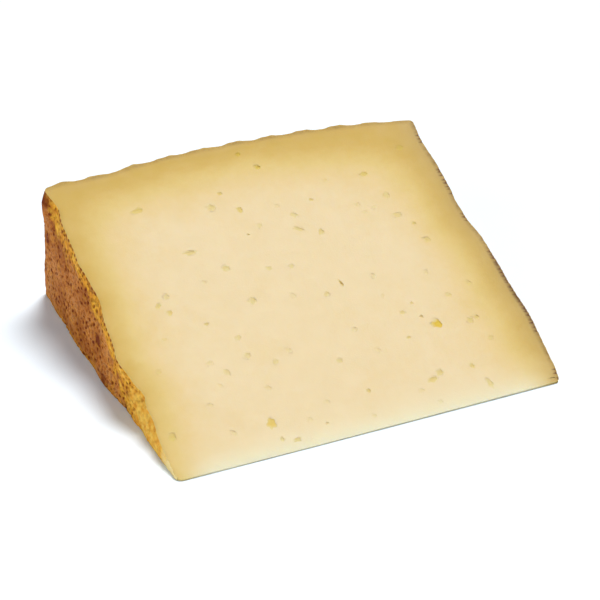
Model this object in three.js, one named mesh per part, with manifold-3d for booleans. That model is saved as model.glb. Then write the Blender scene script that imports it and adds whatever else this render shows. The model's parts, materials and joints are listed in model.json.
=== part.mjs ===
// A wedge of cured iberico cheese, cut from a small pressed wheel and lying on one of its cut faces.
//
// All sizes are in millimetres. While the wedge is shaped, X runs along the axis of the wheel, from the
// flat face on the left to the one on the right, Y runs from the point of the wedge out to the rim, and
// Z is up. The lower cut face lies in the plane Z = 0. At the end the wedge is moved so that the origin
// is at the bottom centre of its box.

import * as THREE from "three";
import { mergeVertices } from "three/addons/utils/BufferGeometryUtils.js";
import Module from "manifold-3d";

// The whole wheel
const WHEEL_HEIGHT = 105;
const BELLY_RADIUS = 97.5;
const BELLY_PLACE = 48;
const LEFT_TAPER = 3.1;
const RIGHT_TAPER = 3.9;
const SHOULDER_RADIUS = 1.2;

// The wedge that is cut from it. Its thin front edge is worn back, and more and more towards the right.
const WEDGE_ANGLE = THREE.MathUtils.degToRad(22.46);
const POINT_WEAR = 0.9;
const END_WEAR = 0.6;
const LEFT_CORNER_RADIUS = 1;
const RIGHT_CORNER_RADIUS = 0.8;

// The marks that the plaited mould leaves on the rim: rows side by side along the axis, and strands in
// each row one behind the other round the rim.
const PLAIT_PITCH = 9.86;
const PLAIT_START = -0.35;
const STRAND_PITCH = 6.2;
const STRAND_LEAN = 0.7;
const STRAND_OFFSET = 0.37;
const PLAIT_HEIGHT = 0.65;
const PLAIT_MARGIN = 8;
const GROOVE_SHARE = 0.5;
const ROW_POWER = 2;
const STRAND_POWER = 1;

// Fineness of the wheel's surface, and the distance under which two points are one
const TURNS = 384;
const FACE_RINGS = 26;
const INNER_RING = 10;
const SHOULDER_STEPS = 2;
const RIM_STEPS = 66;
const CORNER_STEPS = 6;
const SAME_POINT = 1e-4;

// How far the two bodies that cut the wheel reach beyond it
const MARGIN = 10;

// Uneven places of the two flat faces: how far from the axis, how far round (0 at the lower cut face and
// 1 at the upper one), how wide, how far they span round, and how far they sink in (a minus sign means
// that they stand proud).
const LEFT_UNEVEN = [
  { radius: 19, round: 1, width: 3.5, span: 0.35, sink: 0.8 },
  { radius: 26.5, round: 1, width: 3, span: 0.35, sink: 1.15 },
  { radius: 37.8, round: 1, width: 4, span: 0.35, sink: -1.1 },
  { radius: 44, round: 1, width: 10, span: 0.35, sink: -0.5 },
  { radius: 56.5, round: 1, width: 3.8, span: 0.35, sink: 0.8 },
  { radius: 62, round: 1, width: 5, span: 0.35, sink: 0.3 },
  { radius: 69, round: 1, width: 3, span: 0.35, sink: -0.3 },
  { radius: 87.5, round: 1, width: 3.7, span: 0.3, sink: 0.8 },
  { radius: 95, round: 0.88, width: 4.5, span: 0.15, sink: -1.2 },
  { radius: 92, round: 0.4, width: 6, span: 0.3, sink: 0.2 },
  { radius: 25, round: 0, width: 3, span: 0.35, sink: 0.4 },
  { radius: 36, round: 0, width: 4.5, span: 0.35, sink: 0.4 },
  { radius: 48, round: 0, width: 7.5, span: 0.35, sink: -0.7 },
  { radius: 66, round: 0, width: 6.5, span: 0.35, sink: -0.4 },
  { radius: 80, round: 0, width: 4, span: 0.35, sink: 0.3 },
  { radius: 93, round: 0, width: 8, span: 0.2, sink: 1 },
];
const RIGHT_UNEVEN = [
  { radius: 0, round: 0.5, width: 4.6, span: 2, sink: 1.5 },
  { radius: 7, round: 0.5, width: 8, span: 2, sink: 0.75 },
  { radius: 23.6, round: 1, width: 4.7, span: 0.35, sink: -0.4 },
  { radius: 57, round: 1, width: 5.3, span: 0.35, sink: 1.2 },
  { radius: 63, round: 1, width: 3.3, span: 0.35, sink: 0.7 },
  { radius: 69, round: 1, width: 7.8, span: 0.35, sink: 0.9 },
  { radius: 85, round: 1, width: 9, span: 0.35, sink: 1.1 },
  { radius: 44, round: 0.3, width: 14, span: 0.35, sink: -0.5 },
  { radius: 70, round: 0.2, width: 10, span: 0.35, sink: -0.4 },
];

// Swellings and hollows of the rim: how far along the axis, how far round, how wide, how far they span
// round, and how far they rise. They fade away towards the axis as a high power of the distance from it.
const RIM_UNEVEN = [
  { along: 3.5, round: 1, width: 5.5, span: 0.35, rise: 0.8 },
  { along: 0, round: 0.88, width: 6, span: 0.15, rise: 0.4 },
  { along: 18, round: 1, width: 7, span: 0.35, rise: -0.4 },
  { along: 48, round: 1, width: 16, span: 0.35, rise: 0.2 },
  { along: 80, round: 1, width: 14, span: 0.35, rise: 0.1 },
  { along: 103, round: 1, width: 7, span: 0.35, rise: -0.3 },
  { along: 0, round: 0, width: 9, span: 0.28, rise: 3.6 },
  { along: 0, round: 0.62, width: 6, span: 0.15, rise: 0.9 },
];
const RIM_GRIP = 8;

// Eyes that show on the upper cut face: their place along the axis and up the face from the point of the
// wedge, their length, width and depth, and the turn of the long side from the axis in degrees.
const UPPER_EYES = [
  { along: 80.5, up: 26.7, length: 3.4, width: 3.2, depth: 0.5, turn: 0 },
  { along: 27.7, up: 10.1, length: 4, width: 2.8, depth: 0.45, turn: 100 },
  { along: 71.8, up: 11, length: 3.2, width: 1.9, depth: 0.4, turn: 15 },
  { along: 74.5, up: 12.4, length: 2.4, width: 1.9, depth: 0.35, turn: 40 },
  { along: 32, up: 3.8, length: 2.6, width: 1.5, depth: 0.3, turn: 10 },
  { along: 46, up: 75.5, length: 2.8, width: 1.8, depth: 0.4, turn: 100 },
  { along: 83.2, up: 78.5, length: 2.8, width: 1.9, depth: 0.4, turn: 5 },
  { along: 58.3, up: 65.3, length: 3.4, width: 1.6, depth: 0.35, turn: 150 },
  { along: 63.8, up: 62.8, length: 2.4, width: 2, depth: 0.35, turn: 60 },
  { along: 28.2, up: 65.2, length: 3.8, width: 1.8, depth: 0.4, turn: 0 },
  { along: 20.1, up: 81.9, length: 4, width: 2, depth: 0.4, turn: 10 },
  { along: 56.2, up: 88.1, length: 2, width: 1.8, depth: 0.65, turn: 0 },
  { along: 14.2, up: 51.2, length: 2.6, width: 1.6, depth: 0.35, turn: 45 },
  { along: 17.2, up: 53.4, length: 2.6, width: 1.8, depth: 0.3, turn: 60 },
  { along: 16.2, up: 48.4, length: 2, width: 1.7, depth: 0.4, turn: 80 },
  { along: 85.4, up: 5.9, length: 3.6, width: 1.7, depth: 0.3, turn: 95 },
  { along: 83.4, up: 12, length: 2, width: 1.4, depth: 0.4, turn: 90 },
  { along: 91.5, up: 26, length: 1.8, width: 1.6, depth: 0.35, turn: 0 },
  { along: 89.4, up: 25.5, length: 2.6, width: 1.8, depth: 0.3, turn: 60 },
  { along: 62, up: 45.6, length: 3.2, width: 1.4, depth: 0.7, turn: 102 },
];

// Eyes on the lower cut face follow a rule: a seeded draw, kept apart and away from the middle, where
// the face is rested on and measured.
const LOWER_EYE_COUNT = 14;
const LOWER_EYE_SEED = 20;
const LOWER_EYE_GAP = 10;
const RESTING_PATCH = 12;
const EDGE_MARGIN = 8;
const SHORTEST_EYE = 1.8;
const LONGEST_EYE = 3.4;
const NARROWEST_SHARE = 0.45;
const WIDEST_SHARE = 0.95;
const DEPTH_SHARE = 0.4;

// Shape of an eye
const EYE_SIDES = 9;
const EYE_RINGS = 6;
const EYE_SINK = 0.15;
const EYE_ROUGHNESS = 0.12;
const UPPER_EYE_SEED = 7;

// The stream of draws that the eyes use
const DRAW_FACTOR = 1664525;
const DRAW_STEP = 1013904223;
const DRAW_COUNT = 2 ** 32;

const wasm = await Module();
wasm.setup();

// A repeatable stream of numbers from 0 to 1.
function seededDraw(seed) {
  let state = seed >>> 0;
  return function draw() {
    state = (Math.imul(state, DRAW_FACTOR) + DRAW_STEP) >>> 0;
    return state / DRAW_COUNT;
  };
}

// A closed body from a closed geometry, ready to be cut or joined.
function bodyFrom(geometry) {
  const bare = geometry.clone();
  bare.deleteAttribute("normal");
  bare.deleteAttribute("uv");
  const merged = mergeVertices(bare, SAME_POINT);
  const corners = merged.index.array;
  const kept = [];
  for (let i = 0; i < corners.length; i += 3) {
    const [a, b, c] = [corners[i], corners[i + 1], corners[i + 2]];
    if (a !== b && b !== c && c !== a) {
      kept.push(a, b, c);
    }
  }
  return new wasm.Manifold(new wasm.Mesh({
    numProp: 3,
    vertProperties: new Float32Array(merged.attributes.position.array),
    triVerts: new Uint32Array(kept),
  }));
}

// The other way round: a geometry from a body.
function geometryFrom(body) {
  const mesh = body.getMesh();
  const geometry = new THREE.BufferGeometry();
  const places = new Float32Array(mesh.vertProperties);
  geometry.setAttribute("position", new THREE.BufferAttribute(places, mesh.numProp));
  geometry.setIndex(new THREE.BufferAttribute(new Uint32Array(mesh.triVerts), 1));
  geometry.computeVertexNormals();
  return geometry;
}

// Radius of the rim at a distance along the axis: fullest at the belly, less towards both flat faces.
function rimRadius(along) {
  if (along < BELLY_PLACE) {
    const share = (BELLY_PLACE - along) / BELLY_PLACE;
    return BELLY_RADIUS - LEFT_TAPER * share * share;
  }
  const share = (along - BELLY_PLACE) / (WHEEL_HEIGHT - BELLY_PLACE);
  return BELLY_RADIUS - RIGHT_TAPER * share * share;
}

// Half of the wheel's section, from the middle of the left flat face round to the middle of the right.
function wheelSection() {
  const points = [new THREE.Vector2(0, 0)];
  const leftRadius = rimRadius(0) - SHOULDER_RADIUS;
  const rightRadius = rimRadius(WHEEL_HEIGHT) - SHOULDER_RADIUS;
  for (let i = 0; i <= FACE_RINGS; i += 1) {
    points.push(new THREE.Vector2(THREE.MathUtils.lerp(INNER_RING, leftRadius, i / FACE_RINGS), 0));
  }
  for (let i = 1; i <= SHOULDER_STEPS; i += 1) {
    const turn = (i / SHOULDER_STEPS) * (Math.PI / 2);
    const out = leftRadius + SHOULDER_RADIUS * Math.sin(turn);
    points.push(new THREE.Vector2(out, SHOULDER_RADIUS * (1 - Math.cos(turn))));
  }
  for (let i = 1; i < RIM_STEPS; i += 1) {
    const along = THREE.MathUtils.lerp(SHOULDER_RADIUS, WHEEL_HEIGHT - SHOULDER_RADIUS, i / RIM_STEPS);
    points.push(new THREE.Vector2(rimRadius(along), along));
  }
  for (let i = 0; i <= SHOULDER_STEPS; i += 1) {
    const turn = (i / SHOULDER_STEPS) * (Math.PI / 2);
    const out = rightRadius + SHOULDER_RADIUS * Math.cos(turn);
    points.push(new THREE.Vector2(out, WHEEL_HEIGHT - SHOULDER_RADIUS * (1 - Math.sin(turn))));
  }
  for (let i = FACE_RINGS - 1; i >= 0; i -= 1) {
    const out = THREE.MathUtils.lerp(INNER_RING, rightRadius, i / FACE_RINGS);
    points.push(new THREE.Vector2(out, WHEEL_HEIGHT));
  }
  points.push(new THREE.Vector2(0, WHEEL_HEIGHT));
  return points;
}

// How strongly an uneven place is felt at a distance from its middle and a share of the way round.
function nearness(place, distance, round) {
  const outward = distance / place.width;
  const sideways = (round - place.round) / place.span;
  return Math.exp(-outward * outward - sideways * sideways);
}

// How far a flat face sinks in at a distance from the axis and a share of the way round the wedge.
function faceSink(places, radius, round) {
  let sink = 0;
  for (const place of places) {
    sink += place.sink * nearness(place, radius - place.radius, round);
  }
  return sink;
}

// How far the rim swells at a distance along the axis and a share of the way round the wedge.
function rimRise(along, round) {
  let rise = 0;
  for (const place of RIM_UNEVEN) {
    rise += place.rise * nearness(place, along - place.along, round);
  }
  return rise;
}

// A cushion's height from 0 at its two sides to 1 in the middle. A high power makes its foot soft.
function cushion(share, power) {
  return Math.pow(Math.sin(Math.PI * share), power);
}

// Height of the mould's plait marks: rows of slanting strands, which lean the other way in every second
// row, and fade out towards the flat faces.
function plaitHeight(along, round) {
  const rows = (along - PLAIT_START) / PLAIT_PITCH;
  const row = Math.floor(rows);
  const across = rows - row;
  const lean = row % 2 === 0 ? STRAND_LEAN : -STRAND_LEAN;
  const strands = (round * BELLY_RADIUS) / STRAND_PITCH + lean * across + STRAND_OFFSET * row;
  const strand = strands - Math.floor(strands);
  const fade = THREE.MathUtils.smoothstep(along, 0, PLAIT_MARGIN)
    * THREE.MathUtils.smoothstep(WHEEL_HEIGHT - along, 0, PLAIT_MARGIN);
  const relief = GROOVE_SHARE + (1 - GROOVE_SHARE) * cushion(strand, STRAND_POWER);
  return PLAIT_HEIGHT * fade * cushion(across, ROW_POWER) * relief;
}

// The whole wheel on its side, with its uneven faces and the plait marks on its rim.
function wheelBody() {
  const halfTurn = Math.PI / TURNS;
  const lathe = new THREE.LatheGeometry(wheelSection(), TURNS, halfTurn);
  lathe.deleteAttribute("normal");
  lathe.deleteAttribute("uv");
  const wheel = mergeVertices(lathe, SAME_POINT);
  const place = wheel.attributes.position;
  for (let i = 0; i < place.count; i += 1) {
    const along = place.getY(i);
    const round = Math.atan2(place.getX(i), place.getZ(i));
    const radius = Math.hypot(place.getX(i), place.getZ(i));
    const share = round / WEDGE_ANGLE;
    const left = faceSink(LEFT_UNEVEN, radius, share);
    const right = faceSink(RIGHT_UNEVEN, radius, share);
    const shift = THREE.MathUtils.lerp(left, -right, along / WHEEL_HEIGHT);
    const nearRim = Math.pow(radius / rimRadius(along), RIM_GRIP);
    const out = radius + nearRim * (plaitHeight(along, round) + rimRise(along, share));
    place.setXYZ(i, along + shift, out * Math.cos(round), out * Math.sin(round));
  }
  return bodyFrom(wheel);
}

// A long prism whose section is the angle between the two cuts.
function wedgePrism() {
  const reach = BELLY_RADIUS + MARGIN;
  const section = new THREE.Shape();
  section.moveTo(0, 0);
  section.lineTo(reach, 0);
  section.lineTo(reach, reach * Math.tan(WEDGE_ANGLE));
  section.closePath();
  const depth = WHEEL_HEIGHT + 2 * MARGIN;
  const prism = new THREE.ExtrudeGeometry(section, { depth, bevelEnabled: false });
  prism.translate(0, 0, -MARGIN);
  prism.applyMatrix4(new THREE.Matrix4().set(
    0, 0, 1, 0,
    1, 0, 0, 0,
    0, 1, 0, 0,
    0, 0, 0, 1,
  ));
  return bodyFrom(prism);
}

// An upright block whose outline, seen from above, has the worn front edge and its two soft corners. The
// curve of each corner begins and ends two radii from it, and crosses the flat face at an angle.
function frontBlock() {
  const reach = BELLY_RADIUS + MARGIN;
  const left = { side: -LEFT_CORNER_RADIUS, front: 2 * LEFT_CORNER_RADIUS };
  const right = { side: WHEEL_HEIGHT + RIGHT_CORNER_RADIUS, front: WHEEL_HEIGHT - 2 * RIGHT_CORNER_RADIUS };
  const rightWear = POINT_WEAR + END_WEAR;
  const leftStart = POINT_WEAR + 2 * LEFT_CORNER_RADIUS;
  const rightEnd = rightWear + 2 * RIGHT_CORNER_RADIUS;
  const outline = new THREE.Shape();
  outline.moveTo(left.side - MARGIN, reach);
  outline.lineTo(left.side - MARGIN, leftStart);
  outline.lineTo(left.side, leftStart);
  outline.quadraticCurveTo(0, POINT_WEAR, left.front, POINT_WEAR);
  outline.quadraticCurveTo(WHEEL_HEIGHT / 2, POINT_WEAR, right.front, rightWear);
  outline.quadraticCurveTo(WHEEL_HEIGHT, rightWear, right.side, rightEnd);
  outline.lineTo(right.side + MARGIN, rightEnd);
  outline.lineTo(right.side + MARGIN, reach);
  outline.closePath();
  const block = new THREE.ExtrudeGeometry(outline, {
    depth: reach,
    bevelEnabled: false,
    curveSegments: CORNER_STEPS,
  });
  block.translate(0, 0, -MARGIN);
  return bodyFrom(block);
}

// One eye as a slightly crooked ellipsoid, lying at the origin with its depth along Z.
function eyeGeometry(eye, draw) {
  const ball = new THREE.SphereGeometry(1, EYE_SIDES, EYE_RINGS);
  ball.rotateX(Math.PI / 2);
  ball.deleteAttribute("normal");
  ball.deleteAttribute("uv");
  const merged = mergeVertices(ball, SAME_POINT);
  const place = merged.attributes.position;
  for (let i = 0; i < place.count; i += 1) {
    const swell = 1 + EYE_ROUGHNESS * (2 * draw() - 1);
    place.setXYZ(i, place.getX(i) * swell, place.getY(i) * swell, place.getZ(i) * swell);
  }
  merged.scale(eye.length / 2, eye.width / 2, eye.depth);
  merged.rotateZ(THREE.MathUtils.degToRad(eye.turn));
  return merged;
}

// The bodies of the eyes in the upper cut face, which slopes up from the point of the wedge.
function upperEyes() {
  const draw = seededDraw(UPPER_EYE_SEED);
  return UPPER_EYES.map((eye) => {
    const geometry = eyeGeometry(eye, draw);
    geometry.translate(eye.along, eye.up, -EYE_SINK * eye.depth);
    geometry.rotateX(WEDGE_ANGLE);
    return bodyFrom(geometry);
  });
}

// The bodies of the eyes in the lower cut face.
function lowerEyes() {
  const draw = seededDraw(LOWER_EYE_SEED);
  const middle = { along: WHEEL_HEIGHT / 2, up: BELLY_RADIUS / 2 };
  const eyes = [];
  while (eyes.length < LOWER_EYE_COUNT) {
    const along = THREE.MathUtils.lerp(EDGE_MARGIN, WHEEL_HEIGHT - EDGE_MARGIN, draw());
    const up = THREE.MathUtils.lerp(EDGE_MARGIN, BELLY_RADIUS - 2 * EDGE_MARGIN, draw());
    const length = THREE.MathUtils.lerp(SHORTEST_EYE, LONGEST_EYE, draw() * draw());
    const width = length * THREE.MathUtils.lerp(NARROWEST_SHARE, WIDEST_SHARE, draw());
    const turn = THREE.MathUtils.radToDeg(Math.PI) * draw();
    const apart = eyes.every((eye) => Math.hypot(eye.along - along, eye.up - up) > LOWER_EYE_GAP);
    const off = Math.hypot(middle.along - along, middle.up - up) > RESTING_PATCH;
    if (apart && off) {
      eyes.push({ along, up, length, width, depth: DEPTH_SHARE * width, turn });
    }
  }
  return eyes.map((eye) => {
    const geometry = eyeGeometry(eye, draw);
    geometry.translate(eye.along, eye.up, EYE_SINK * eye.depth);
    return bodyFrom(geometry);
  });
}

// The wedge: the wheel, cut to the angle, with its worn point and its eyes.
function wedgeGeometry() {
  let wedge = wheelBody().intersect(wedgePrism()).intersect(frontBlock());
  for (const eye of [...upperEyes(), ...lowerEyes()]) {
    wedge = wedge.subtract(eye);
  }
  return geometryFrom(wedge);
}

const cheese = new THREE.MeshStandardMaterial({ color: 0xeedbaa, roughness: 0.5, metalness: 0 });
const wedge = new THREE.Mesh(wedgeGeometry(), cheese);
wedge.name = "cheese_wedge";

const box = new THREE.Box3().setFromObject(wedge);
const middle = box.getCenter(new THREE.Vector3());
wedge.position.set(-middle.x, -middle.y, -box.min.z);

const part = new THREE.Group();
part.add(wedge);

export default part;
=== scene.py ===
# %% [markdown]
# A wedge of cured iberico cheese
#
# The cheese is a small pressed wheel that is cut like a cake, so a wedge of it has two smooth cut faces,
# two flat outsides and a piece of the rim. It lies on one of its cut faces. The measured solid of the wedge
# is loaded first and is never moved. It gives the place and the size, and what is made here stands for it.

# %% Load the measured wedge
import json
import math
import random

import bmesh
import bpy
from mathutils import Matrix, Vector, kdtree, noise

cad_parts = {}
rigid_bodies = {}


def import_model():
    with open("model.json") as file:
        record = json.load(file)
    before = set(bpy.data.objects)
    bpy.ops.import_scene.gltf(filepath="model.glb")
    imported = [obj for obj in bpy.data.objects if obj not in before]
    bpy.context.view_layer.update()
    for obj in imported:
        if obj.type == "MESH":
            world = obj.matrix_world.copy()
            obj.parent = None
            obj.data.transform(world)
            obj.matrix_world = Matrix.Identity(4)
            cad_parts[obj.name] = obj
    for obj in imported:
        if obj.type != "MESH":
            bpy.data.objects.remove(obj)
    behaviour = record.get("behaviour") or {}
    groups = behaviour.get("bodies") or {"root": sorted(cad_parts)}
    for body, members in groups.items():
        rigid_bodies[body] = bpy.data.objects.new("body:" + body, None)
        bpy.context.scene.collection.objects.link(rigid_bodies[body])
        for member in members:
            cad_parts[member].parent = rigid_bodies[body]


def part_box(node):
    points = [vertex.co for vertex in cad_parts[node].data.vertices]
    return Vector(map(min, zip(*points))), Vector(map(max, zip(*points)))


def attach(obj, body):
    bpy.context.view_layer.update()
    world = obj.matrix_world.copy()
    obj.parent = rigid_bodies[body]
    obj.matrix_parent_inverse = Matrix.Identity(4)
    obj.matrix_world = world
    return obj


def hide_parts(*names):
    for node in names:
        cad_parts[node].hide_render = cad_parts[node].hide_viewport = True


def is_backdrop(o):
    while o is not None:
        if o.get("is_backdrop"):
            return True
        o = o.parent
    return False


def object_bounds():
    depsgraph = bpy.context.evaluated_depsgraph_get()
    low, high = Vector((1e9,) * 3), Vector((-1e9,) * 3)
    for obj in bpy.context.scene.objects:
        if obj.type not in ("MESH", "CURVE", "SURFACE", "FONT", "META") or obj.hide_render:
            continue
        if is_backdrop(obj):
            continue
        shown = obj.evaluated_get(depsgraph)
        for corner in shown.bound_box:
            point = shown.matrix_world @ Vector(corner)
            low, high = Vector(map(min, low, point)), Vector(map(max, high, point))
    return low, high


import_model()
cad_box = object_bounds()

MM = 0.001
LOW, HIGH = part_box("cheese_wedge")
print("The measured wedge, in mm:", [round(side / MM, 2) for side in HIGH - LOW])

# %% [markdown]
# The wheel and its frame
#
# Every size of the wedge follows from the wheel that it was cut from: how high the wheel stood, how far its
# rim bellies out, and how sharp the angle of the cut is. While the wedge is shaped, X runs along the axis of
# the wheel, Y from the point of the wedge out to the rim, and Z is up. At the end it is moved into the box
# of the measured wedge, whose left side stands a little proud of the flat face.

# %% Sizes of the wheel and the wedge
WHEEL_HEIGHT = 105 * MM
BELLY_RADIUS = 97.5 * MM
BELLY_PLACE = 48 * MM
LEFT_TAPER = 3.1 * MM
RIGHT_TAPER = 3.9 * MM
SHOULDER_RADIUS = 1.2 * MM
WEDGE_ANGLE = math.radians(22.46)
POINT_WEAR = 0.9 * MM
END_WEAR = 0.6 * MM
LEFT_FACE_INSET = 1.411 * MM
AXIS_PLACE = Vector((LOW.x + LEFT_FACE_INSET, LOW.y - POINT_WEAR, LOW.z))


def rim_radius(along):
    """Radius of the rim: fullest at the belly, less towards both flat faces."""
    if along < BELLY_PLACE:
        return BELLY_RADIUS - LEFT_TAPER * ((BELLY_PLACE - along) / BELLY_PLACE) ** 2
    return BELLY_RADIUS - RIGHT_TAPER * ((along - BELLY_PLACE) / (WHEEL_HEIGHT - BELLY_PLACE)) ** 2


def point_wear(along):
    """How far the thin front edge is worn back, more and more towards the right."""
    return POINT_WEAR + END_WEAR * (along / WHEEL_HEIGHT) ** 2


print("Rim radius at the left, the belly and the right, in mm:",
      [round(rim_radius(along) / MM, 1) for along in (0, BELLY_PLACE, WHEEL_HEIGHT)])

# %% [markdown]
# The outline of a cut face
#
# A cut face is nearly a rectangle: as long as the wheel was high, and as deep as its radius. One could draw
# it point by point, but it is shorter to start from its four corners, soften them with a vertex bevel, and
# then divide its sides. The sides need many short edges, because the rind will be dented where they pass.

# %% Four corners, softened and divided
# Of each corner, from the left end of the point round to the left end of the rim.
CORNER_RADII = (2 * MM, 1.1 * MM, SHOULDER_RADIUS, SHOULDER_RADIUS)
CORNER_STEPS = (6, 6, 4, 4)
FLAT_STEP = 0.42 * MM
RIM_STEP = 0.46 * MM
FRONT_STEP = 2.5 * MM
HALF_WAY = 50 * MM


def soften(bm, corner, radius, steps):
    """Rounds one corner of a flat outline."""
    bmesh.ops.bevel(bm, geom=[corner], offset=radius, offset_type="OFFSET", segments=steps,
                    profile=0.5, affect="VERTICES", material=-1, clamp_overlap=True)


def divide_side(bm, step, belongs):
    """Divides the long edge whose middle passes the test into pieces of about one step."""
    for edge in bm.edges[:]:
        middle = (edge.verts[0].co + edge.verts[1].co) / 2
        if edge.calc_length() > HALF_WAY and belongs(middle):
            bmesh.ops.subdivide_edges(bm, edges=[edge], cuts=round(edge.calc_length() / step) - 1)


def cut_outline():
    """The outline of the lower cut face, as one flat face."""
    bm = bmesh.new()
    left_rim = rim_radius(0)
    right_rim = rim_radius(WHEEL_HEIGHT)
    places = ((0, POINT_WEAR), (WHEEL_HEIGHT, POINT_WEAR), (WHEEL_HEIGHT, right_rim), (0, left_rim))
    corners = [bm.verts.new((along, out, 0)) for along, out in places]
    bmesh.ops.contextual_create(bm, geom=corners)
    for corner, radius, steps in zip(corners, CORNER_RADII, CORNER_STEPS):
        soften(bm, corner, radius, steps)
    divide_side(bm, FRONT_STEP, lambda middle: middle.y < SHOULDER_RADIUS)
    divide_side(bm, RIM_STEP, lambda middle: middle.y > left_rim - RIGHT_TAPER)
    for vert in bm.verts:
        if vert.co.y < HALF_WAY:
            vert.co.y += point_wear(vert.co.x) - POINT_WEAR
        else:
            straight = left_rim + (right_rim - left_rim) * vert.co.x / WHEEL_HEIGHT
            vert.co.y += rim_radius(vert.co.x) - straight
    divide_side(bm, FLAT_STEP, lambda middle: middle.x < SHOULDER_RADIUS)
    divide_side(bm, FLAT_STEP, lambda middle: middle.x > WHEEL_HEIGHT - SHOULDER_RADIUS)
    return bm


bm = cut_outline()
print("Points round the cut face:", len(bm.verts))

# %% [markdown]
# From the outline to the body
#
# Because the wheel is round, spinning the cut face about the wheel's axis sweeps out exactly the wedge. The
# spin leaves the face itself at the start and at the end, so the body is closed at once. Each cut face is
# then inset three times, for the narrow dark lines beside the rind, and ruled into small squares by bisecting
# planes, so that the paste can be a little wavy and its colour can change from place to place.

# %% Spin the body and rule the cut faces
TURN_STEPS = 88
EDGE_RINGS = (0.35 * MM, 0.35 * MM, 0.8 * MM)
RULED_STEP = 2.0 * MM
NEAR_LINE = 0.01 * MM
SQUARE_CORNERS = 4
ALONG = Vector((1, 0, 0))
OUT_ON_LOWER = Vector((0, 1, 0))
OUT_ON_UPPER = Vector((0, math.cos(WEDGE_ANGLE), math.sin(WEDGE_ANGLE)))
UP_FROM_UPPER = ALONG.cross(OUT_ON_UPPER)


def rule_across(bm, faces, direction, reach):
    """Bisects flat faces by planes that stand one step apart in a direction, and returns the pieces."""
    for line in range(1, int(reach / RULED_STEP) + 1):
        edges = {edge for face in faces for edge in face.edges}
        verts = {vert for face in faces for vert in face.verts}
        ruled = bmesh.ops.bisect_plane(bm, geom=[*faces, *edges, *verts], dist=NEAR_LINE,
                                       plane_co=direction * (line * RULED_STEP), plane_no=direction)
        faces = {item for item in ruled["geom"] if isinstance(item, bmesh.types.BMFace)}
    return faces


def spin_body(bm):
    """Turns the outline into the body of the wedge, with its cut faces ruled into squares."""
    bmesh.ops.spin(bm, geom=[*bm.verts, *bm.edges, *bm.faces], cent=(0, 0, 0), axis=ALONG,
                   angle=WEDGE_ANGLE, steps=TURN_STEPS, use_merge=False, use_duplicate=False)
    bmesh.ops.recalc_face_normals(bm, faces=bm.faces)
    cut_faces = [face for face in bm.faces if len(face.verts) > SQUARE_CORNERS]
    for ring in EDGE_RINGS:
        bmesh.ops.inset_individual(bm, faces=cut_faces, thickness=ring, use_even_offset=True)
    for face in cut_faces:
        out = OUT_ON_LOWER if face.normal.z < 0 else OUT_ON_UPPER
        strips = rule_across(bm, {face}, ALONG, WHEEL_HEIGHT)
        rule_across(bm, strips, out, BELLY_RADIUS)


spin_body(bm)
print("Faces of the body:", len(bm.faces), "open edges:", sum(not edge.is_manifold for edge in bm.edges))

# %% [markdown]
# Places on the wheel
#
# The marks on a cheese follow the wheel and not the wedge, so each point is read in the wheel's own terms:
# how far along the axis, how far out from it, and how far round from the lower cut face. Where it lies under
# the skin is measured from a core that is one shoulder radius smaller than the wheel. That also tells rind
# from paste: the rind is a skin, and whatever the knife has opened is paste, right up to the edge.

# %% Read a point in the wheel's terms
PASTE = 0
RIND = 1
RIND_THICKNESS = 0.35 * MM
IN_THE_CUT = 0.99


def wheel_place(point):
    """A point's distance along the axis, its distance out from it, and its angle round it."""
    return point.x, math.hypot(point.y, point.z), math.atan2(point.z, point.y)


def under_skin(along, out):
    """How deep a place lies under the skin, and which way is out there, along the axis and away from it."""
    core_along = min(max(along, SHOULDER_RADIUS), WHEEL_HEIGHT - SHOULDER_RADIUS)
    core_out = min(out, rim_radius(along) - SHOULDER_RADIUS)
    way = Vector((along - core_along, out - core_out))
    return SHOULDER_RADIUS - way.length, way.normalized()


def is_cut(face):
    """Whether a face lies in one of the two cuts."""
    return max(-face.normal.z, face.normal.dot(UP_FROM_UPPER)) > IN_THE_CUT


for face in bm.faces:
    along, out, _ = wheel_place(face.calc_center_median())
    skin = under_skin(along, out)[0] < RIND_THICKNESS and not is_cut(face)
    face.material_index = RIND if skin else PASTE
print("Rind faces:", sum(face.material_index == RIND for face in bm.faces))

# %% [markdown]
# How the faces and the rim sink and swell
#
# The two flat faces and the rim have swollen and sunk a little while the cheese cured. A few soft bulges
# and hollows say where. The paste between the faces moves along with them, less the further in it lies.

# %% Uneven faces and rim
# Each line: distance from the axis in mm, share of the way round, width in mm, span round, sink in mm.
LEFT_UNEVEN = (
    (19, 1, 3.5, 0.35, 0.8), (26.5, 1, 3, 0.35, 1.15), (37.8, 1, 4, 0.35, -1.1), (44, 1, 10, 0.35, -0.5),
    (56.5, 1, 3.8, 0.35, 0.8), (62, 1, 5, 0.35, 0.3), (69, 1, 3, 0.35, -0.3), (87.5, 1, 3.7, 0.3, 0.8),
    (95, 0.88, 4.5, 0.15, -1.2), (92, 0.4, 6, 0.3, 0.2), (25, 0, 3, 0.35, 0.4), (36, 0, 4.5, 0.35, 0.4),
    (48, 0, 7.5, 0.35, -0.7), (66, 0, 6.5, 0.35, -0.4), (80, 0, 4, 0.35, 0.3), (93, 0, 8, 0.2, 1),
)
RIGHT_UNEVEN = (
    (0, 0.5, 4.6, 2, 1.5), (7, 0.5, 8, 2, 0.75), (23.6, 1, 4.7, 0.35, -0.4), (57, 1, 5.3, 0.35, 1.2),
    (63, 1, 3.3, 0.35, 0.7), (69, 1, 7.8, 0.35, 0.9), (85, 1, 9, 0.35, 1.1), (44, 0.3, 14, 0.35, -0.5),
    (70, 0.2, 10, 0.35, -0.4),
)
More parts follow.
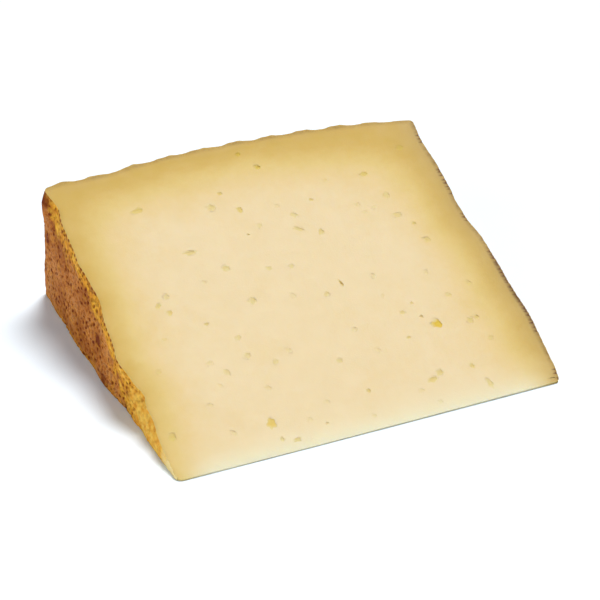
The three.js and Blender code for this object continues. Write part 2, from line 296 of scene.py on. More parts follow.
# Each line: distance along the axis in mm, share of the way round, width in mm, span round, rise in mm.
RIM_UNEVEN = (
    (3.5, 1, 5.5, 0.35, 0.8), (0, 0.88, 6, 0.15, 0.4), (18, 1, 7, 0.35, -0.4), (48, 1, 16, 0.35, 0.2),
    (80, 1, 14, 0.35, 0.1), (103, 1, 7, 0.35, -0.3), (0, 0, 9, 0.28, 3.6),
    (0, 0.62, 6, 0.15, 0.9),
)


def unevenness(places, distance, turn):
    """How much all the uneven places together move the skin at a distance and a turn."""
    share = turn / WEDGE_ANGLE
    moved = 0
    for place, place_round, width, span, most in places:
        outward = (distance / MM - place) / width
        sideways = (share - place_round) / span
        moved += most * math.exp(-outward ** 2 - sideways ** 2)
    return moved * MM


def uneven_shift(along, out, turn):
    """How far a point of the wedge has moved along the axis."""
    from_left = along / WHEEL_HEIGHT
    left = unevenness(LEFT_UNEVEN, out, turn)
    right = unevenness(RIGHT_UNEVEN, out, turn)
    return left * (1 - from_left) - right * from_left


print("Left face half way round, in mm:",
      [round(uneven_shift(0, out * MM, WEDGE_ANGLE / 2) / MM, 2) for out in (20, 40, 60, 80)])

# %% [markdown]
# The plait on the rim
#
# The wheel was pressed in a belt of plaited grass, which leaves rows of slanting strands all round the rim.
# The strands lean one way in one row and the other way in the next. A strand is a cushion between two
# grooves, and the dry stalks in it leave finer lines. Carving each strand would take long, but a height
# that is worked out from the place on the rim gives all of them at once.

# %% Height of the plait marks
PLAIT_PITCH = 9.86 * MM
PLAIT_START = -0.35 * MM
STRAND_PITCH = 6.2 * MM
STRAND_LEAN = 0.7
STRAND_OFFSET = 0.37
PLAIT_HEIGHT = 0.65 * MM
PLAIT_MARGIN = 8 * MM
GROOVE_SHARE = 0.5
ROW_POWER = 2
STRAND_POWER = 1
STALKS = 4
STALK_HEIGHT = 0.11 * MM


def between(first, last, share):
    """The number that lies at a share of the way from first to last."""
    return first + (last - first) * share


def smooth_step(value, low, high, first=0, last=1):
    """Goes softly from first to last while a value goes from low to high."""
    share = min(max((value - low) / (high - low), 0), 1)
    return between(first, last, share * share * (3 - 2 * share))


def cushion(share, power):
    """A cushion's height from 0 at its two sides to 1 in the middle. A high power makes its foot soft."""
    return math.sin(math.pi * share) ** power


def plait(along, turn):
    """Height of the plait, and how deep in a groove the place lies, from 0 to 1."""
    rows = (along - PLAIT_START) / PLAIT_PITCH
    row = math.floor(rows)
    across = rows - row
    lean = STRAND_LEAN if row % 2 == 0 else -STRAND_LEAN
    strands = turn * BELLY_RADIUS / STRAND_PITCH + lean * across + STRAND_OFFSET * row
    strand = strands % 1
    fade = smooth_step(along, 0, PLAIT_MARGIN) * smooth_step(WHEEL_HEIGHT - along, 0, PLAIT_MARGIN)
    swell = cushion(across, ROW_POWER) * (GROOVE_SHARE + (1 - GROOVE_SHARE) * cushion(strand, STRAND_POWER))
    stalks = math.sin(2 * math.pi * STALKS * strand) * swell
    return fade * (PLAIT_HEIGHT * swell + STALK_HEIGHT * stalks), fade * (1 - swell)


print("Height on a strand and in a groove, in mm:",
      [round(plait(PLAIT_START + PLAIT_PITCH * rows, 0.1)[0] / MM, 2) for rows in (6.5, 6.0)])

# %% [markdown]
# Relief of the skin and the paste
#
# The rind is a thin dry skin. It has soft lumps from the cloth and fine grain from drying. Both come from
# noise, read at the place of the point, so that the rind looks alike on all sides and has no seam. Marks
# are pressed straight in or out, which is along the axis on the flat faces and away from it on the rim. The
# cut paste is nearly flat. The knife leaves it only a little wavy.

# %% Move every point to its place
LUMP_SIZE = 7 * MM
LUMP_HEIGHT = 0.16 * MM
GRAIN_SIZE = 1.3 * MM
GRAIN_HEIGHT = 0.1 * MM
PASTE_WAVE_SIZE = 16 * MM
PASTE_WAVE_HEIGHT = 0.12 * MM
RIM_GRIP = 8
SKIN_DEPTH = 0.1 * MM
# How dark the grooves of the plait are painted, and how fast that grows with their depth: partly the brown of
# the marks and partly painted shade.
GROOVE_SHADE = 0.5
GROOVE_POWER = 1.6


def rind_height(point):
    """Lumps and grain of the skin at a point."""
    lumps = LUMP_HEIGHT * noise.noise(point / LUMP_SIZE)
    return lumps + GRAIN_HEIGHT * noise.noise(point / GRAIN_SIZE)


def paste_wave(point, turn):
    """How far the cut paste is waved up at a point. The lower face never reaches below the floor."""
    wave = PASTE_WAVE_HEIGHT * noise.noise(point / PASTE_WAVE_SIZE)
    return abs(wave) if turn < WEDGE_ANGLE / 2 else wave


def shape_relief(bm):
    """Gives the smooth body the uneven faces, plait, lumps, grain and waves of the real one, and paints shade
    into the grooves of the plait.
    """
    shade = bm.verts.layers.float.new("shade")
    side = bm.verts.layers.float.new("side")
    bm.verts.layers.float.new("dots")
    bm.verts.layers.float.new("eye")
    for vert in bm.verts:
        along, out, turn = wheel_place(vert.co)
        depth, way = under_skin(along, out)
        rise, groove = plait(along, turn)
        rise += unevenness(RIM_UNEVEN, along, turn)
        near_rim = (out / rim_radius(along)) ** RIM_GRIP
        lift = 0
        height = 0
        if depth < SKIN_DEPTH:
            height = rind_height(vert.co)
            # Painted shade in the grooves of the plait, together with the brown of the marks.
            vert[shade] = GROOVE_SHADE * groove ** GROOVE_POWER * max(way.y, 0)
            vert[side] = way.x
        elif depth > RIND_THICKNESS + SKIN_DEPTH:
            lift = paste_wave(vert.co, turn)
        along += uneven_shift(along, out, turn) + way.x * height
        out += rise * near_rim + way.y * height
        vert.co = Vector((along, out * math.cos(turn), out * math.sin(turn) + lift))


shape_relief(bm)
reach = [sorted(vert.co[axis] for vert in bm.verts) for axis in range(3)]
print("Reach of the body, in mm:", [(round(row[0] / MM, 2), round(row[-1] / MM, 2)) for row in reach])

# %% [markdown]
# Pits of the pressing cloth
#
# The flat faces show the print of the cloth that the curd was pressed in: small slanting pits in rows that
# run beside the cut. Those at the very edge are regular and, on some stretches, dark. The others wander and
# are often faint, most of all towards the point, where the rind is thin. How dark a pit is stands partly for
# its own dark red brown and partly for painted shade of the hollow. One could weave a cloth and press it in,
# but a repeatable draw of places and strengths gives the same print in a few lines.

# %% Where the pits lie
PIT_STEP = 1.5 * MM
PIT_ROW = 1.7 * MM
PIT_JITTER = 0.7 * MM
PIT_SIZES = (0.75, 1.25)
PIT_DEPTH = 0.4 * MM
PIT_SKIPPED = 0.3
FAINTEST_PIT = 0.25
# From and to which distance from the axis the rind thickens, and how strong the pits are there.
THICKENING_RIND = (14 * MM, 36 * MM, 0.4, 1)
EDGE_JITTER = 0.25 * MM
EDGE_PIT_DEPTH = 0.12 * MM
DARK_EDGE_PITS = (0.6, 1)
FAINT_EDGE_PITS = (0.075, 0.3)
# The row of pits at the edge: step, how far below the cut, size, and its dark stretches from and to, in mm.
LEFT_EDGE_ROW = (1.65, 0.4, 1.15, ((36, 53), (58, 88)))
RIGHT_EDGE_ROW = (1.25, 0.05, 0.78, ((0, 6), (17, 46), (55, 59), (65, 75), (85, 88)))
LEFT_PITS_SEED = 3
RIGHT_PITS_SEED = 4


def edge_pits(draw, edge_row):
    """Distance from the axis, distance below the cut, depth, strength and size of each pit at the edge."""
    step, below, size, dark_stretches = edge_row
    for column in range(int(BELLY_RADIUS / MM / step) + 1):
        beside = column * step * MM + EDGE_JITTER * draw.uniform(-1, 1)
        dark = any(start < beside / MM < end for start, end in dark_stretches)
        strength = draw.uniform(*(DARK_EDGE_PITS if dark else FAINT_EDGE_PITS))
        yield beside, below * MM, EDGE_PIT_DEPTH, strength, size


def inner_pits(draw):
    """The same for the pits further in. Every other row begins half a step later, and all wander."""
    for row in range(1, int(BELLY_RADIUS * math.sin(WEDGE_ANGLE) / PIT_ROW) + 1):
        jitter = EDGE_JITTER if row == 1 else PIT_JITTER
        for column in range(int(BELLY_RADIUS / PIT_STEP) + 1):
            beside = (column + row % 2 / 2) * PIT_STEP + jitter * draw.uniform(-1, 1)
            below = row * PIT_ROW + jitter * draw.uniform(-1, 1)
            strength = between(FAINTEST_PIT, 1, draw.random() ** 2)
            strength *= smooth_step(beside, *THICKENING_RIND)
            size = draw.uniform(*PIT_SIZES)
            if draw.random() > PIT_SKIPPED:
                yield beside, below, PIT_DEPTH, strength, size


def cloth_pits(seed, edge_row):
    """All pits of a flat face: place as Y and Z, depth, strength from 0 to 1, and size."""
    draw = random.Random(seed)
    across = Vector((math.sin(WEDGE_ANGLE), -math.cos(WEDGE_ANGLE)))
    down_the_cut = Vector((math.cos(WEDGE_ANGLE), math.sin(WEDGE_ANGLE)))
    for beside, below, *look in (*edge_pits(draw, edge_row), *inner_pits(draw)):
        yield down_the_cut * beside + across * below, *look


left_pits = list(cloth_pits(LEFT_PITS_SEED, LEFT_EDGE_ROW))
right_pits = list(cloth_pits(RIGHT_PITS_SEED, RIGHT_EDGE_ROW))
print("Pits on the left and on the right:", len(left_pits), len(right_pits))

# %% [markdown]
# Pressing the pits in
#
# The pits could be Boolean cuts, but there are hundreds of them, none as deep as half a millimetre. Pressing
# is quicker: a tree of the skin's points finds the ones near each pit, and they move in and take its dark. A
# pit is a slanting oval, deepest and darkest in its middle. Its dark is partly the rind's own red brown and
# partly painted shade of the hollow.

# %% Press the pits in
PIT_HALF_WIDTH = 0.45 * MM
PIT_HALF_LENGTH = 0.85 * MM
PIT_SLANT = math.radians(-35)
# Least share of a point's way out of the cheese that is along the axis, on a flat face.
ON_FLAT_FACE = 0.9
LEFTWARD = -1
RIGHTWARD = 1


def flat_face_points(bm, outward):
    """The points of the flat face that looks leftward or rightward."""
    side = bm.verts.layers.float["side"]
    return [vert for vert in bm.verts if vert[side] * outward > ON_FLAT_FACE]


def press_pits(bm, pits, outward):
    """Presses the pits into one flat face, darkens them with their own colour and painted shade, and returns
    how many of its points are dark.
    """
    shade = bm.verts.layers.float["shade"]
    verts = flat_face_points(bm, outward)
    tree = kdtree.KDTree(len(verts))
    for number, vert in enumerate(verts):
        tree.insert((vert.co.y, vert.co.z, 0), number)
    tree.balance()
    slant = Matrix.Rotation(PIT_SLANT, 2)
    for place, depth, strength, size in pits:
        for found, number, _ in tree.find_range((place.x, place.y, 0), size * PIT_HALF_LENGTH):
            lengthwise, sideways = (found.xy - place) @ slant / size
            reach = (lengthwise / PIT_HALF_LENGTH) ** 2 + (sideways / PIT_HALF_WIDTH) ** 2
            fall = max(1 - reach, 0)
            vert = verts[number]
            vert.co.x -= outward * depth * strength * fall
            vert[shade] = max(vert[shade], strength * fall)
    return sum(vert[shade] > 0 for vert in verts)


print("Dark points on the left:", press_pits(bm, left_pits, LEFTWARD))
print("Dark points on the right:", press_pits(bm, right_pits, RIGHTWARD))

# %% [markdown]
# Stains, and the dark of the right edge
#
# A few dark stains of mould are only colour, with ragged outlines. On the right the edge is broken by its
# pits, so that their dark shows from above as well. There it is painted a little way into the paste, ring by
# ring: partly the rind's own dark and partly painted shade of the notches.

# %% Stain the flat faces and the right edge
# Each line, in mm: distance from the axis, share of the way round, size, and strength.
LEFT_STAINS = (
    (94.5, 0.95, 3.6, 0.75), (92, 0.58, 1.8, 0.5), (53.8, 0.48, 1.7, 0.9), (48.3, 0.06, 2, 0.6),
    (33, 0.5, 1.1, 0.7), (66, 0.3, 3.5, 0.08),
)
RIGHT_STAINS = (
    (88, 0.8, 3, 0.6), (70, 0.4, 2.2, 0.8), (51, 0.6, 4, 0.3), (39, 0.3, 1.6, 0.8), (60, 0.15, 3, 0.4),
)
STAIN_RAGGED = 0.5
STAIN_GRAIN = 1.5 * MM
# Most of that share in the paste.
IN_THE_PASTE = 0.1
# How much of its dark each ring of points hands on to the next one.
EDGE_BLEED = (0.95, 0.55)


def stain(bm, stains, outward):
    """Darkens one flat face where mould has stained it."""
    shade = bm.verts.layers.float["shade"]
    for vert in flat_face_points(bm, outward):
        _, out, turn = wheel_place(vert.co)
        for place, share, size, strength in stains:
            away = math.hypot(out / MM - place, out / MM * (turn - share * WEDGE_ANGLE)) / size
            ragged = away * (1 + STAIN_RAGGED * noise.noise(vert.co / STAIN_GRAIN))
            vert[shade] = max(vert[shade], strength * math.exp(-ragged ** 2))


def bleed_into_paste(bm):
    """Paints the dark of the right edge into the paste, ring by ring, partly as painted shade of its notches,
    and returns at how many points.
    """
    shade = bm.verts.layers.float["shade"]
    side = bm.verts.layers.float["side"]
    dots = bm.verts.layers.float["dots"]
    front = flat_face_points(bm, RIGHTWARD)
    for vert in front:
        vert[dots] = vert[shade]
    reached = set(front)
    skin = len(front)
    for share in EDGE_BLEED:
        following = []
        for vert in front:
            for inner in (edge.other_vert(vert) for edge in vert.link_edges):
                if inner not in reached and abs(inner[side]) < IN_THE_PASTE:
                    inner[dots] = share * vert[dots]
                    following.append(inner)
                    reached.add(inner)
        front = following
    return len(reached) - skin


stain(bm, LEFT_STAINS, LEFTWARD)
stain(bm, RIGHT_STAINS, RIGHTWARD)
print("Points of the paste beside the edge:", bleed_into_paste(bm))

# %% [markdown]
# Eyes in the paste
#
# Gas and small gaps between the curds leave eyes: a few as large as a lentil, more like a pinhead, and some
# that are mere slits. The knife opens them where it passes and smears their lips, so that they are shallow
# dishes, deepest towards the right, where the knife has dragged the paste. They are painted more golden than
# the paste round them, most at their deepest: partly their own colour and partly painted shade and bounced
# light of the hollow. Each one begins as an icosphere. Raising its height to a power turns the lower half
# into a dish with a soft lip, noise makes it crooked, and its deep part is pushed aside. A Boolean then takes
# the ball out of the paste. The points of the ball keep how golden they are, and the Boolean hands that on.

# %% One eye as a crooked dish
# Each line, in mm: along the axis, up the face from the point, length, width, depth, turn in degrees, gold.
# The gold is partly the eye's colour and partly painted shade.
UPPER_EYES = (
    (80.5, 26.7, 3.4, 3.2, 0.35, 0, 1), (27.7, 10.1, 4, 2.8, 0.2, 68, 0.75),
    (71.8, 11, 3.2, 1.9, 0.4, 15, 0.45), (74.5, 12.4, 2.4, 1.9, 0.35, 40, 0.4),
    (32, 3.8, 2.6, 1.5, 0.3, 10, 0.45), (46, 75.5, 2.8, 1.8, 0.4, 100, 0.55),
    (83.2, 78.5, 2.8, 1.9, 0.4, 5, 0.4), (58.3, 65.3, 3.4, 1.6, 0.35, 150, 0.3),
    (63.8, 62.8, 2.4, 2, 0.35, 60, 0.4), (28.2, 65.2, 3.8, 1.8, 0.45, 0, 0.4),
    (20.1, 81.9, 4, 2, 0.4, 10, 0.4), (56.2, 88.1, 2, 1.8, 0.65, 0, 0.6),
    (14.2, 51.2, 2.6, 1.6, 0.35, 45, 0.35), (17.2, 53.4, 2.6, 1.8, 0.3, 60, 0.25),
    (16.2, 48.4, 2, 1.7, 0.4, 80, 0.42), (85.4, 5.9, 3.6, 1.7, 0.3, 95, 0.35),
    (83.4, 12, 2, 1.4, 0.4, 90, 0.4), (91.5, 26, 1.8, 1.6, 0.35, 0, 0.3),
    (89.4, 25.5, 2.6, 1.8, 0.3, 60, 0.25), (62, 45.6, 2.6, 1, 0.8, 102, 0.4),
)
EYE_ROUGHNESS = 0.5
EYE_LUMPS = 1.7
SMEARED_DEPTH = 0.5
LIP_POWER = 3.2
KNIFE_DRAG = 0.4
ABOVE_LIP = 0.4
LARGE_EYE = 2.5
LARGE_BALL = 4
SMALL_BALL = 3
GOLD_GAIN = 1.4
GOLD_POWER = 2.5
TURNED_OVER = Matrix.Rotation(math.pi, 4, "X")


def eye_ball(bm, eye, seed):
    """Adds one eye at the origin of a mesh, with its depth down along Z, and returns its points."""
    _, _, length, width, depth, turn, gold = eye
    gold_and_shade = bm.verts.layers.float["eye"]
    fineness = LARGE_BALL if length > LARGE_EYE else SMALL_BALL
    made = bmesh.ops.create_icosphere(bm, subdivisions=fineness, radius=1)
    half_length = length / 2 * MM
    half_width = width / 2 * MM
    deepest = SMEARED_DEPTH * depth * MM
    for vert in made["verts"]:
        # Painted shade: the gold grows towards the bottom of the dish, for the eye's own colour and for shade
        # and bounced light in the hollow.
        vert[gold_and_shade] = gold * min(GOLD_GAIN * abs(vert.co.z) ** GOLD_POWER, 1)
        crooked = 1 + EYE_ROUGHNESS * noise.noise(vert.co * EYE_LUMPS + Vector((seed, 2 * seed, 0)))
        dish = ABOVE_LIP * MM * vert.co.z if vert.co.z > 0 else -deepest * abs(vert.co.z) ** LIP_POWER
        vert.co = Vector((crooked * half_length * vert.co.x, crooked * half_width * vert.co.y, dish))
    bmesh.ops.rotate(bm, verts=made["verts"], cent=(0, 0, 0),
                     matrix=Matrix.Rotation(math.radians(turn), 3, "Z"))
    for vert in made["verts"]:
        vert.co.x += KNIFE_DRAG * half_width * max(-vert.co.z / deepest, 0)
    return made["verts"]


def empty_cutter():
    """An empty mesh for balls, whose points can keep how golden they are."""
    cutter = bmesh.new()
    cutter.verts.layers.float.new("eye")
    return cutter


trial = empty_cutter()
print("Points of a large eye:", len(eye_ball(trial, UPPER_EYES[0], 0)))
trial.free()

# %% [markdown]
# Where the pinheads lie
#
# The pinheads are many: small deep yellow ones, wide soft yellow ones, faint grey dents, and a few dark
# pricks. Each could have sizes of its own, as the large eyes do, but at a millimetre or two across only its
# place and its kind can be told. So a repeatable draw gives the sizes.

# %% Pinheads
# Places of the pinheads on the upper cut face, along the axis and up the face, in mm.
YELLOW_PINHEADS = (
    (65.6, 73.7), (23.8, 42.7), (43, 82), (89, 59), (52.8, 93.6), (77, 34.6), (71.5, 24.7), (54.8, 12.4),
    (28.5, 5),
)
SOFT_PINHEADS = (
    (39, 78), (49, 69), (59, 70), (86, 63), (90, 53), (87.5, 34.6), (73.3, 32.5), (92, 18.8), (23.1, 27.3),
    (56.9, 43.3), (51.7, 54.2), (37.7, 46.5), (45.8, 55.1), (29.8, 36.5), (29.8, 30.6), (36, 27),
    (51.5, 22.9), (96.8, 84.8), (3.3, 12.9), (35, 58), (86, 70),
)
GREY_PINHEADS = (
    (70.8, 4.2), (56, 74), (72, 79), (77, 69), (78, 66), (81, 67), (85, 43), (94.3, 36.8), (12, 41),
    (20, 31), (7, 32), (20, 24), (31, 20), (43.5, 12.1), (37.3, 8.4), (18, 10), (53, 5), (40.5, 29.5),
    (59.1, 30.8), (62.4, 23.1), (71, 45.7), (70.7, 38.9), (15.7, 19.2), (67.6, 8.7), (28.1, 55.2),
    (48.4, 45.2),
)
DARK_PINHEADS = ((45, 67), (77.6, 30), (40.9, 6.2))
# Each kind: places, shortest and longest in mm, depth as a share of the width, and gold.
PINHEAD_KINDS = (
    (YELLOW_PINHEADS, 1.4, 1.8, 0.3, 0.42), (SOFT_PINHEADS, 2, 2.8, 0.12, 0.3),
    (GREY_PINHEADS, 1.6, 2.4, 0.12, 0.12), (DARK_PINHEADS, 1, 1.3, 0.58, 0.15),
)
PINHEAD_ROUNDNESS = (0.65, 0.95)
PINHEAD_GOLD = (0.7, 1.2)
PINHEAD_SEED = 11


def pinhead_eyes(draw):
    """A small eye at each pinhead's place."""
    for places, shortest, longest, depth, gold in PINHEAD_KINDS:
        for along, up in places:
            length = draw.uniform(shortest, longest)
            width = length * draw.uniform(*PINHEAD_ROUNDNESS)
            turn = draw.uniform(0, 180)
            yield along, up, length, width, depth * width, turn, gold * draw.uniform(*PINHEAD_GOLD)


upper_eyes = (*UPPER_EYES, *pinhead_eyes(random.Random(PINHEAD_SEED)))
print("Eyes of the upper face:", len(upper_eyes))

# %% [markdown]
# Where the eyes of the lower face lie
#
# The lower cut face can't be seen as the wedge lies, and its eyes follow a rule: they are kept apart, and
# kept off the middle, where the wedge rests. The plainest way is to draw a place and to drop it if it is
# taken, until there are enough.

# %% Eyes of the lower face
# Lengths and gaps in mm. The roundness and the depth are shares of the length and of the width.
LOWER_EYE_COUNT = 14
LOWER_EYE_GAP = 10
LOWER_EYE_LENGTHS = (1.8, 3.4)
LOWER_EYE_ROUNDNESS = (0.45, 0.95)
LOWER_EYE_DEPTH = 0.2
LOWER_EYE_GOLD = 0.4
LOWER_EYE_SEED = 20
RESTING_PATCH = 12
EDGE_MARGIN = 8
DRAW_FACTOR = 1664525
DRAW_STEP = 1013904223
DRAW_RANGE = 2 ** 32


def seeded_draw(state):
    """A repeatable stream of numbers from 0 to 1."""
    while True:
        state = (state * DRAW_FACTOR + DRAW_STEP) % DRAW_RANGE
        yield state / DRAW_RANGE


def lower_face_eyes(draw):
    """Eyes of the lower cut face, drawn and kept apart."""
    height = WHEEL_HEIGHT / MM
    belly = BELLY_RADIUS / MM
    eyes = []
    while len(eyes) < LOWER_EYE_COUNT:
        along = between(EDGE_MARGIN, height - EDGE_MARGIN, next(draw))
        up = between(EDGE_MARGIN, belly - 2 * EDGE_MARGIN, next(draw))
        length = between(*LOWER_EYE_LENGTHS, next(draw) * next(draw))
        width = length * between(*LOWER_EYE_ROUNDNESS, next(draw))
        turn = 180 * next(draw)
        apart = all(math.hypot(eye[0] - along, eye[1] - up) > LOWER_EYE_GAP for eye in eyes)
        if apart and math.hypot(height / 2 - along, belly / 2 - up) > RESTING_PATCH:
            eyes.append((along, up, length, width, LOWER_EYE_DEPTH * width, turn, LOWER_EYE_GOLD))
    return eyes


lower_eyes = lower_face_eyes(seeded_draw(LOWER_EYE_SEED))
print("Eyes of the lower face, in mm:", [(round(along), round(up)) for along, up, *_ in lower_eyes])

# %% [markdown]
# Dealing the eyes into batches
#
# A Boolean needs cutters that don't cross one another, and some eyes do meet. Taking them out one by one
# would be slow. So the balls are dealt into batches: each goes into the first batch in which it meets no
# other eye of its face.

# %% Batches of balls
# The least gap between two balls of a batch, in mm.
CUTTER_GAP = 1


def clear_of(eye, other):
    """Whether the balls of two eyes of one face can't meet."""
    return math.hypot(other[0] - eye[0], other[1] - eye[1]) > (other[2] + eye[2]) / 2 + CUTTER_GAP


def place_ball(bm, eye, upper, seed):
    """Adds the ball of one eye to a cutter, at its place in the upper or the lower cut face."""
    verts = eye_ball(bm, eye, seed)
    tilt = Matrix.Rotation(WEDGE_ANGLE, 4, "X") if upper else Matrix.Identity(4)
    over = Matrix.Identity(4) if upper else TURNED_OVER
    middle = tilt @ (Vector((eye[0], eye[1], 0)) * MM)
    middle.z += paste_wave(middle, WEDGE_ANGLE if upper else 0)
    bmesh.ops.transform(bm, matrix=Matrix.Translation(middle) @ tilt @ over, verts=verts)


def deal_batches():
    """Cutters for all eyes. No ball crosses another in its cutter."""
    batches = []
    all_eyes = [(eye, True) for eye in upper_eyes] + [(eye, False) for eye in lower_eyes]
    for seed, (eye, upper) in enumerate(all_eyes):
        for cutter, dealt in batches:
            if all(clear_of(eye, other) for other, other_upper in dealt if other_upper == upper):
                break
        else:
            cutter = empty_cutter()
            dealt = []
            batches.append((cutter, dealt))
        place_ball(cutter, eye, upper, seed)
        dealt.append((eye, upper))
    return [cutter for cutter, _ in batches]


cutters = deal_batches()
print("Points of the balls in each batch:", [len(cutter.verts) for cutter in cutters])

# %% [markdown]
# Taking the eyes out
#
# Small eyes could be pressed into the face, as the pits are, but its squares are too coarse for them. A
# Boolean gives each one a crisp lip. The walls of the eyes get the first material, the paste.

# %% Cut the eyes
def add_object(name, data):
    """A new object in the scene."""
    made = bpy.data.objects.new(name, data)
    bpy.context.scene.collection.objects.link(made)
    return made


def object_from(bm, name):
    """An object in the scene from a bmesh, which is freed."""
    mesh = bpy.data.meshes.new(name)
    bm.to_mesh(mesh)
    bm.free()
    return add_object(name, mesh)


def take_out(cheese, cutter):
    """Takes one cutter out of the cheese for good."""
    eyes = cheese.modifiers.new("eyes", "BOOLEAN")
    eyes.object = cutter
    eyes.operation = "DIFFERENCE"
    eyes.solver = "MANIFOLD"
    graph = bpy.context.evaluated_depsgraph_get()
    opened = bpy.data.meshes.new_from_object(cheese.evaluated_get(graph))
    cheese.modifiers.clear()
    cheese.data = opened
    bpy.data.objects.remove(cutter)


cheese = object_from(bm, "cured_cheese")
for _ in (PASTE, RIND):
    cheese.data.materials.append(None)
for number, cutter in enumerate(cutters):
    take_out(cheese, object_from(cutter, f"eyes_{number}"))
    print("Batch", number, "of eyes is out. Points:", len(cheese.data.vertices))

# %% [markdown]
# How the paste has aged
#
# A cured cheese is darkest and most golden just under the rind, because it dries from outside in, and palest
# in the middle. At its thin point it is painted paler still, as painted light that shines through the thin
# edge. Beside the crust it is brownish, most of all in one stretch of the right edge. The colours need to
# know this, and a shader can't measure it, so it is worked out here from how deep a place lies inside the two
# flat faces and the rim.

# %% Age, crust and point of the paste
# Depths and strengths are for the left face, the right face and the rim.
AGED_DEPTHS = (8.5 * MM, 9.9 * MM, 10.2 * MM)
AGED_STRENGTHS = (0.78, 1, 1)
AGED_POWER = 1.4
CRUST_DEPTHS = (0.5 * MM, 1.0 * MM, 0.75 * MM)
CRUST_STRENGTHS = (0.25, 0.65, 0.5)
DARK_CRUST = 1.2
DARK_CRUST_OUT = 31 * MM
DARK_CRUST_WIDTH = 13 * MM
DARK_CRUST_POWER = 4
GREYED_DEPTH = 5 * MM
GREYED_STRENGTH = 0.15
# From and to which distance something changes, and its shares there: the age towards the rim, the same
# beside the right face, and from the left face on how far the age of the rim reaches in.
THIN_AGE = (4 * MM, 45 * MM, 0.66, 1)
RIGHT_THIN_AGE = (2 * MM, 20 * MM, 0.64, 1)
RIM_REACH = (55 * MM, 85 * MM, 1, 1.3)
# Where the paste near the thin point is painted paler, for light that shines through the thin edge.
POINT_PALE_OUT = 4.5 * MM
POINT_PALE_POWER = 1.5
POINT_PALE_IN = (0 * MM, 11 * MM)


def fading(distance, reach, power=2):
    """Fades from 1 at no distance, past about a third at the reach, to nought."""
    return math.exp(-(distance / reach) ** power)


def depths_inside(along, out, turn):
    """How far a place of the wheel is from its left face, its right face and its rim."""
    left = along - unevenness(LEFT_UNEVEN, out, turn)
    right = WHEEL_HEIGHT - unevenness(RIGHT_UNEVEN, out, turn) - along
    rim = rim_radius(min(max(along, 0), WHEEL_HEIGHT)) + unevenness(RIM_UNEVEN, along, turn) - out
    return [max(depth, 0) for depth in (left, right, rim)]


def aged(depths, out):
    """How dried and golden the paste is, from 0 deep inside to 1 under the skin."""
    left, right, rim = depths
    rim /= smooth_step(left, *RIM_REACH)
    thin = smooth_step(out, *THIN_AGE)
    shares = (thin, smooth_step(out, *RIGHT_THIN_AGE), thin)
    fresh = 1
    for depth, share, reach, strength in zip((left, right, rim), shares, AGED_DEPTHS, AGED_STRENGTHS):
        fresh *= 1 - share * strength * fading(depth, reach, AGED_POWER)
    return 1 - fresh


def crust(depths, out):
    """How near the crust the paste is. It shows most in one stretch beside the right face."""
    left, right, rim = CRUST_STRENGTHS
    right = between(right, DARK_CRUST, fading(out - DARK_CRUST_OUT, DARK_CRUST_WIDTH, DARK_CRUST_POWER))
    return max(strength * fading(depth, reach)
               for depth, reach, strength in zip(depths, CRUST_DEPTHS, (left, right, rim)))


def greyed(depths):
    """How grey the paste has dried beside the right face."""
    return GREYED_STRENGTH * fading(depths[1], GREYED_DEPTH)


def painted_point_glow(depths, out):
    """How near the thin point of the wedge the paste is, for the painted light that shines through there,
    fading towards both ends of it.
    """
    return fading(out, POINT_PALE_OUT, POINT_PALE_POWER) * smooth_step(min(depths[:2]), *POINT_PALE_IN)


middle_depths = depths_inside(WHEEL_HEIGHT / 2, BELLY_RADIUS / 2, WEDGE_ANGLE)
print("How aged the middle of the cut is:", round(aged(middle_depths, BELLY_RADIUS / 2), 3))

# %% [markdown]
# Where the skin is golden or worn
#
# The rind is golden along the cut edges, where the knife has rubbed it, and towards the point, where it is
# thin. At the very point it is rubbed off to the paste. The strip below the upper cut has the widths that are
# seen there, and a little noise makes all these borders wander, or else they would look ruled.

# %% Gold and wear of the rind
STRIP_GOLD = 0.6
# Width of the golden strip below the upper cut, in mm, at some distances from the axis.
STRIP_WIDTHS = (
    (36, 9), (43, 6.5), (50, 5), (53, 5), (57, 8), (60, 7), (63, 4.5), (72, 5.5), (80, 6.5), (86, 9), (95, 2),
)
# From and to where each thing fades, and its strengths there. The first distances are shares of the width.
STRIP_FADE = (0.6, 1.1)
FLOOR_STRIP_FADE = (0.8 * MM, 2 * MM, 0.45, 0)
HONEY_FADE = (24.2 * MM, 46.2 * MM, 1, 0)
WORN_FADE = (7.7 * MM, 11 * MM, 1, 0)
WANDER_SIZE = 3 * MM
GOLD_WANDER = 0.35
WORN_WANDER = 0.3


def wander(point, share):
    """A number about 1 that changes softly from place to place by up to a share."""
    return 1 + share * noise.noise(point / WANDER_SIZE)


def strip_width(out):
    """Width of the golden strip below the upper cut, read between the measured ones."""
    width = STRIP_WIDTHS[0][1]
    for (near, _), (far, far_width) in zip(STRIP_WIDTHS, STRIP_WIDTHS[1:]):
        width = between(width, far_width, min(max((out / MM - near) / (far - near), 0), 1))
    return width * MM


def golden(point, out, turn):
    """How golden the skin is: in a strip beside both cuts, and more and more towards the point."""
    drift = wander(point, GOLD_WANDER)
    upper_gap = out * math.sin(max(WEDGE_ANGLE - turn, 0)) * drift
    lower_gap = out * math.sin(max(turn, 0)) * drift
    upper_fade = [share * strip_width(out) for share in STRIP_FADE]
    strip = max(smooth_step(upper_gap, *upper_fade, 1, 0), smooth_step(lower_gap, *FLOOR_STRIP_FADE))
    return max(STRIP_GOLD * strip, smooth_step(out * drift, *HONEY_FADE))


def worn(point, out):
    """Where the skin is rubbed off to the paste, near the point."""
    return smooth_step(out * wander(point, WORN_WANDER), *WORN_FADE)


print("Widths of the golden strip, in mm:",
      [round(strip_width(out * MM) / MM, 1) for out in (40, 55, 70, 85)])

